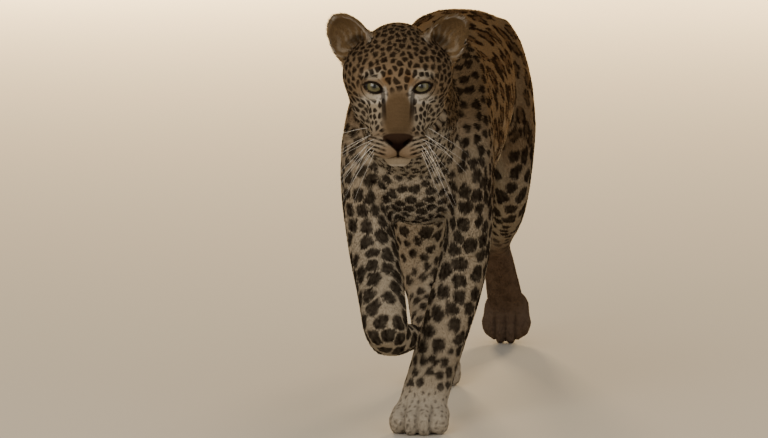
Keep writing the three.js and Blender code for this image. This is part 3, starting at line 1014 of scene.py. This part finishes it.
# Length, width and density of the tufts at each skin point, in mm and tufts per square mm.
def coatPlan(points, normals, labels):
    z = points[:, 2]
    local = toHead(points)
    length = np.full(len(points), coat["length"])
    width = np.full(len(points), coat["width"])
    dense = np.full(len(points), coat["dense"])
    leg = starts(labels, "foreleg") | starts(labels, "hindleg")
    low = smoothStep(330, 90, z) * leg
    length += (5.0 - length) * low
    width += (1.1 - width) * low
    dense += (0.5 - dense) * low
    length[starts(labels, "tail")] = 11
    head = starts(labels, "head") | starts(labels, "ear_")
    back = smoothStep(-60, 60, local[:, 1]) * head
    length = np.where(head, 3.0 + 3.5 * back, length)
    width = np.where(head, 0.75 + 0.5 * back, width)
    dense = np.where(head, 1.0 - 0.45 * back, dense)
    cup = starts(labels, "ear_") & (normals @ headTurn[:, 1] < -0.1)
    length[cup] = 9
    width[cup] = 1.0
    neck = starts(labels, "neck")
    length[neck] = 8
    width[neck] = 1.4
    dense[neck] = 0.4
    bare = noseShare(local) * starts(labels, "head")
    inside, _ = lidDepth(mirrored(local))
    bare = np.maximum(bare, smoothStep(-2.2, -1.2, inside) * (local[:, 1] < 0))
    dense *= 1 - np.clip(bare, 0, 1)
    length *= 1 - 0.6 * smoothStep(-12, -3, inside) * (local[:, 1] < 0)
    return length, width, dense


def triangles(mesh):
    mesh.calc_loop_triangles()
    corners = np.zeros(len(mesh.loop_triangles) * 3, int)
    mesh.loop_triangles.foreach_get("vertices", corners)
    return corners.reshape(-1, 3)


# Random roots over the skin, as many to the square mm as the plan says.
def placeTufts(surface, labels, lie, count):
    rng = np.random.default_rng(seed + 1)
    length, width, dense = coatPlan(surface.points, surface.normals, labels)
    faces = triangles(surface.mesh)
    a, b, c = (surface.points[faces[:, k]] for k in range(3))
    area = 0.5 * np.linalg.norm(np.cross(b - a, c - a), axis=1)
    weight = area * dense[faces].mean(axis=1)
    count = min(count, int(weight.sum()))
    face = np.searchsorted(np.cumsum(weight) / weight.sum(), rng.random(count))
    r1, r2 = rng.random((2, count))
    s = np.sqrt(r1)
    bary = np.stack([1 - s, s * (1 - r2), s * r2], axis=1)
    pick = faces[np.clip(face, 0, len(faces) - 1)]

    def blend(values):
        return np.einsum("nk,nk...->n...", bary, values[pick])

    return {
        "root": blend(surface.points),
        "normal": unit(blend(surface.normals)),
        "lie": unit(blend(lie)),
        "length": blend(length) * rng.uniform(0.75, 1.15, count),
        "width": blend(width) * rng.uniform(0.75, 1.2, count),
        "label": labels[pick[np.arange(count), np.argmax(bary, axis=1)]],
        "swing": rng.normal(0, 0.13, count),
        "lean": rng.uniform(0.1, 0.24, count),
        "tone": rng.uniform(0.9, 1.1, count),
        "crease": blend(skinCrease),
    }


# Each tuft is a closed blade of four faces: two root corners, a raised ridge and a tip.
def tuftMesh(t, number):
    count = len(t["root"])
    along = unit(t["lie"] + np.cross(t["normal"], t["lie"]) * t["swing"][:, None])
    across = unit(np.cross(t["normal"], along))
    length = t["length"][:, None]
    half = t["width"][:, None] / 2
    lean = t["lean"][:, None]
    root = t["root"] - t["normal"] * 0.5
    ridge = root + along * length * 0.35 + t["normal"] * (length * 0.35 * np.sin(lean) * 1.5 + 0.35 * half)
    tip = root + along * length * np.cos(lean) + t["normal"] * length * np.sin(lean)
    corners = np.stack([root - across * half, root + across * half, ridge, tip], axis=1)
    corners[:, :, 2] = np.maximum(corners[:, :, 2], 0.2)
    pattern = np.array([[0, 2, 3], [2, 1, 3], [1, 0, 3], [0, 1, 2]])
    faces = (np.arange(count) * 4)[:, None, None] + pattern[None]
    mesh = bpy.data.meshes.new(f"coat_{number}")
    mesh.vertices.add(count * 4)
    mesh.vertices.foreach_set("co", toRow(corners.reshape(-1, 3)).ravel())
    mesh.loops.add(count * 12)
    mesh.loops.foreach_set("vertex_index", faces.ravel())
    mesh.polygons.add(count * 4)
    mesh.polygons.foreach_set("loop_start", np.arange(count * 4) * 3)
    mesh.update(calc_edges=True)
    # Painted shade: each tuft is darker at its root corners than at its ridge and tip.
    shade = np.array(coat["shade"])
    colours = t["colour"][:, None, :] * shade[None, :, None] * t["tone"][:, None, None]
    setColour(mesh, "coat", colours.reshape(-1, 3))
    patch = np.array([[-1, -1], [1, -1], [0, 0], [0, 1]]) * 0.0015
    addBakeMap(mesh, np.repeat(t["uv"], 4, axis=0), np.tile(patch, (count, 1)))
    return mesh


def makeCoat():
    count = coat["tufts"]
    tufts = placeTufts(skin, skinLabels, skinLie, count)
    middle = tufts["root"] + tufts["lie"] * tufts["length"][:, None] * 0.45
    tufts["colour"] = coatColour(middle, tufts["normal"], tufts["label"], tufts["crease"])
    tufts["uv"] = unwrap(tufts["root"], tufts["label"])
    order = np.argsort(tufts["root"][:, 1], kind="stable")
    for number, start in enumerate(range(0, len(order), coat["perPiece"])):
        part = order[start : start + coat["perPiece"]]
        piece = tuftMesh({name: values[part] for name, values in tufts.items()}, number)
        finishPiece(piece, f"coat_{number}", fur)
    print("coat made", len(order))


makeCoat()


# The eyes

# Iris colours, by the angle from the eye's middle line, in radians: pupil, olive iris, dark rim, dark white.
irisColours = [
    (0.0, "#050403"),
    (0.15, "#050403"),
    (0.19, "#3f3d20"),
    (0.38, "#696140"),
    (0.56, "#5b552c"),
    (0.66, "#1f1a0e"),
    (0.72, "#0d0907"),
    (1.0, "#0b0706"),
]


# A cornea wet with tears: smooth and glossy, with the iris and its fine rays seen through it.
def eyeMaterial(name, centre, gaze):
    raysPerRadius = 14
    material, tree, shader = newMaterial(name)
    place = node(tree, "ShaderNodeTexCoord").outputs["Object"]
    offset = node(tree, "ShaderNodeVectorMath", {0: place, 1: centre}, operation="SUBTRACT")
    way = node(tree, "ShaderNodeVectorMath", {0: offset.outputs[0]}, operation="NORMALIZE")
    cosine = node(tree, "ShaderNodeVectorMath", {0: way.outputs[0], 1: gaze}, operation="DOT_PRODUCT")
    angle = node(tree, "ShaderNodeMath", {0: cosine.outputs["Value"]}, operation="ARCCOSINE")
    rays = node(tree, "ShaderNodeTexNoise", {"Vector": way.outputs[0], "Scale": raysPerRadius, "Detail": 4.0})
    ramp = node(tree, "ShaderNodeValToRGB", {"Fac": angle.outputs[0]})
    stops = ramp.color_ramp.elements
    while len(stops) < len(irisColours):
        stops.new(0.5)
    for stop, (position, colour) in zip(stops, irisColours):
        stop.position = position
        stop.color = (*linear(colour), 1)
    tone = node(tree, "ShaderNodeMapRange", {"Value": rays.outputs["Fac"], "To Min": 0.6, "To Max": 1.3})
    shade = node(tree, "ShaderNodeVectorMath", {0: ramp.outputs["Color"]}, operation="SCALE")
    tree.links.new(tone.outputs[0], shade.inputs["Scale"])
    tree.links.new(shade.outputs[0], shader.inputs["Base Color"])
    shader.inputs["Roughness"].default_value = 0.12
    shader.inputs["Coat Weight"].default_value = 0.2
    shader.inputs["Coat Roughness"].default_value = 0.02
    return material


# An eyeball that looks at the camera, with the cornea standing out a little.
def makeEye(side, name):
    centre = toRow(fromHead(eyeCentre[None] * [side, 1, 1]))[0]
    gaze = unit(cameraPlace - centre)
    radius = eye["radius"] * mm
    corneaEdge = 0.72
    bm = bmesh.new()
    bmesh.ops.create_uvsphere(bm, u_segments=48, v_segments=32, radius=radius)
    for vert in bm.verts:
        vert.co *= 1 + eye["cornea"] * max(0.0, (vert.co.z / radius - corneaEdge) / (1 - corneaEdge))
    turn = Vector(gaze).to_track_quat("Z", "Y").to_matrix()
    bmesh.ops.rotate(bm, verts=bm.verts, matrix=turn)
    bmesh.ops.translate(bm, verts=bm.verts, vec=Vector(centre))
    mesh = bpy.data.meshes.new(name)
    bm.to_mesh(mesh)
    bm.free()
    material = eyeMaterial(f"{name}_wet", tuple(centre), tuple(gaze))
    piece = finishPiece(mesh, f"{name}_ball", material)
    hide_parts(name)


makeEye(1, "eye_left")
makeEye(-1, "eye_right")
print("eyes made")


# Whiskers: their number on each side, their length and thickness in mm, and how far out they may reach

whiskers = {
    "rows": 4,
    "perRow": 3,
    "shortest": 50,
    "longest": 95,
    "thinnest": 0.2,
    "thickest": 0.3,
    "reach": 120.0,
}


# Stiff white bristle, smoother and glossier than the coat.
def whiskerMaterial():
    material, _, shader = newMaterial("whisker_hair")
    shader.inputs["Base Color"].default_value = (*linear("#f3ece0"), 1)
    shader.inputs["Roughness"].default_value = 0.35
    return material


# A rod of five sides, cut across into nine lengths, for every hair to be bent from.
def whiskerRod():
    bm = bmesh.new()
    bmesh.ops.create_cone(bm, cap_ends=True, segments=5, radius1=1, radius2=1, depth=1)
    sides = [edge for edge in bm.edges if abs(edge.verts[0].co.z - edge.verts[1].co.z) > 0.5]
    bmesh.ops.subdivide_edges(bm, edges=sides, cuts=8)
    mesh = bpy.data.meshes.new("rod")
    bm.to_mesh(mesh)
    bm.free()
    return mesh


# Bends and tapers a rod into one hair.
def bendHair(verts, start, way, droop, length, thick):
    across = unit(np.cross(way, [0.0, 0.0, 1.0]))
    fall = np.array([0, 0, -1.0]) * droop
    for vert in verts:
        t = vert.co.z + 0.5
        ahead = unit(way * length + 2 * fall * t)
        upward = unit(np.cross(across, ahead))
        turn = math.atan2(vert.co.x, vert.co.y)
        radius = thick * (1 - 0.85 * t)
        ring = radius * (across * math.cos(turn) + upward * math.sin(turn))
        vert.co = toRow(start + way * length * t + fall * t * t + ring)


def makeWhiskers():
    rng = np.random.default_rng(seed + 2)
    rod = whiskerRod()
    bm = bmesh.new()
    for side, row, k in product((1, -1), range(whiskers["rows"]), range(whiskers["perRow"])):
        x = 35 + 5.0 * k
        local = np.array([side * x, -125.0, -22.0 - 5.5 * row + 0.1 * x])
        # From before the muzzle back to 1.5 mm under its skin.
        for _ in range(8):
            gap = headField(local[None])[0] + 1.5
            local[1] += max(gap, -3) * 0.8
        start = fromHead(local[None])[0]
        drop = 0.25 + 0.42 * row + rng.uniform(-0.2, 0.25)
        way = unit(np.array([side * rng.uniform(0.6, 0.95), -0.25 + 0.1 * k, -drop]))
        length = rng.uniform(whiskers["shortest"], whiskers["longest"])
        room = (whiskers["reach"] - abs(start[0])) / max(abs(way[0]), 0.1)
        droop = rng.uniform(4, 14)
        thick = rng.uniform(whiskers["thinnest"], whiskers["thickest"])
        made = len(bm.verts)
        bm.from_mesh(rod)
        bm.verts.ensure_lookup_table()
        bendHair(bm.verts[made:], start, way, droop, min(length, room), thick)
    bpy.data.meshes.remove(rod)
    bmesh.ops.recalc_face_normals(bm, faces=bm.faces)
    mesh = bpy.data.meshes.new("whiskers")
    bm.to_mesh(mesh)
    bm.free()
    finishPiece(mesh, "whiskers", whiskerMaterial())


makeWhiskers()
print("whiskers made")


# Floor and light: two soft lamps before the animal and two warm ones far behind it

lamps = {
    "key": {"place": (-1.3, -4.6, 2.3), "power": 84, "size": 2.4, "colour": "#fff6ea"},
    "fill": {"place": (2.8, -3.6, 1.4), "power": 22, "size": 2.6, "colour": "#f6f4f2"},
    "rim_left": {"place": (1.4, 8.5, 1.5), "power": 560, "size": 1.2, "colour": "#ffdda6"},
    "rim_right": {"place": (-2.2, 8.3, 1.5), "power": 560, "size": 1.2, "colour": "#ffdda6"},
}
lampAim = Vector((0.0, -0.3, 0.4))
floorReach = 60


# Matt painted board, wide enough to fill the view.
def makeFloor():
    bm = bmesh.new()
    bmesh.ops.create_grid(bm, x_segments=1, y_segments=1, size=floorReach)
    mesh = bpy.data.meshes.new("floor")
    bm.to_mesh(mesh)
    bm.free()
    material, _, shader = newMaterial("studio_floor")
    shader.inputs["Base Color"].default_value = (*linear("#cfc8bc"), 1)
    shader.inputs["Roughness"].default_value = 0.9
    mesh.materials.append(material)
    floor = bpy.data.objects.new("floor", mesh)
    bpy.context.scene.collection.objects.link(floor)


def makeLight(name, place, power, size, colour):
    data = bpy.data.lights.new(name, "AREA")
    data.energy = power
    data.size = size
    data.color = tuple(linear(colour))
    light = bpy.data.objects.new(name, data)
    light.location = place
    light.rotation_euler = (lampAim - Vector(place)).to_track_quat("-Z", "Y").to_euler()
    bpy.context.scene.collection.objects.link(light)


def makeWorld():
    world = bpy.data.worlds.new("studio")
    bpy.context.scene.world = world
    world.use_nodes = True
    background = world.node_tree.nodes["Background"]
    background.inputs["Color"].default_value = (*linear("#e8e4dc"), 1)
    background.inputs["Strength"].default_value = 0.5


makeFloor()
for name, lamp in lamps.items():
    makeLight(name, **lamp)
makeWorld()
print("floor and light made")
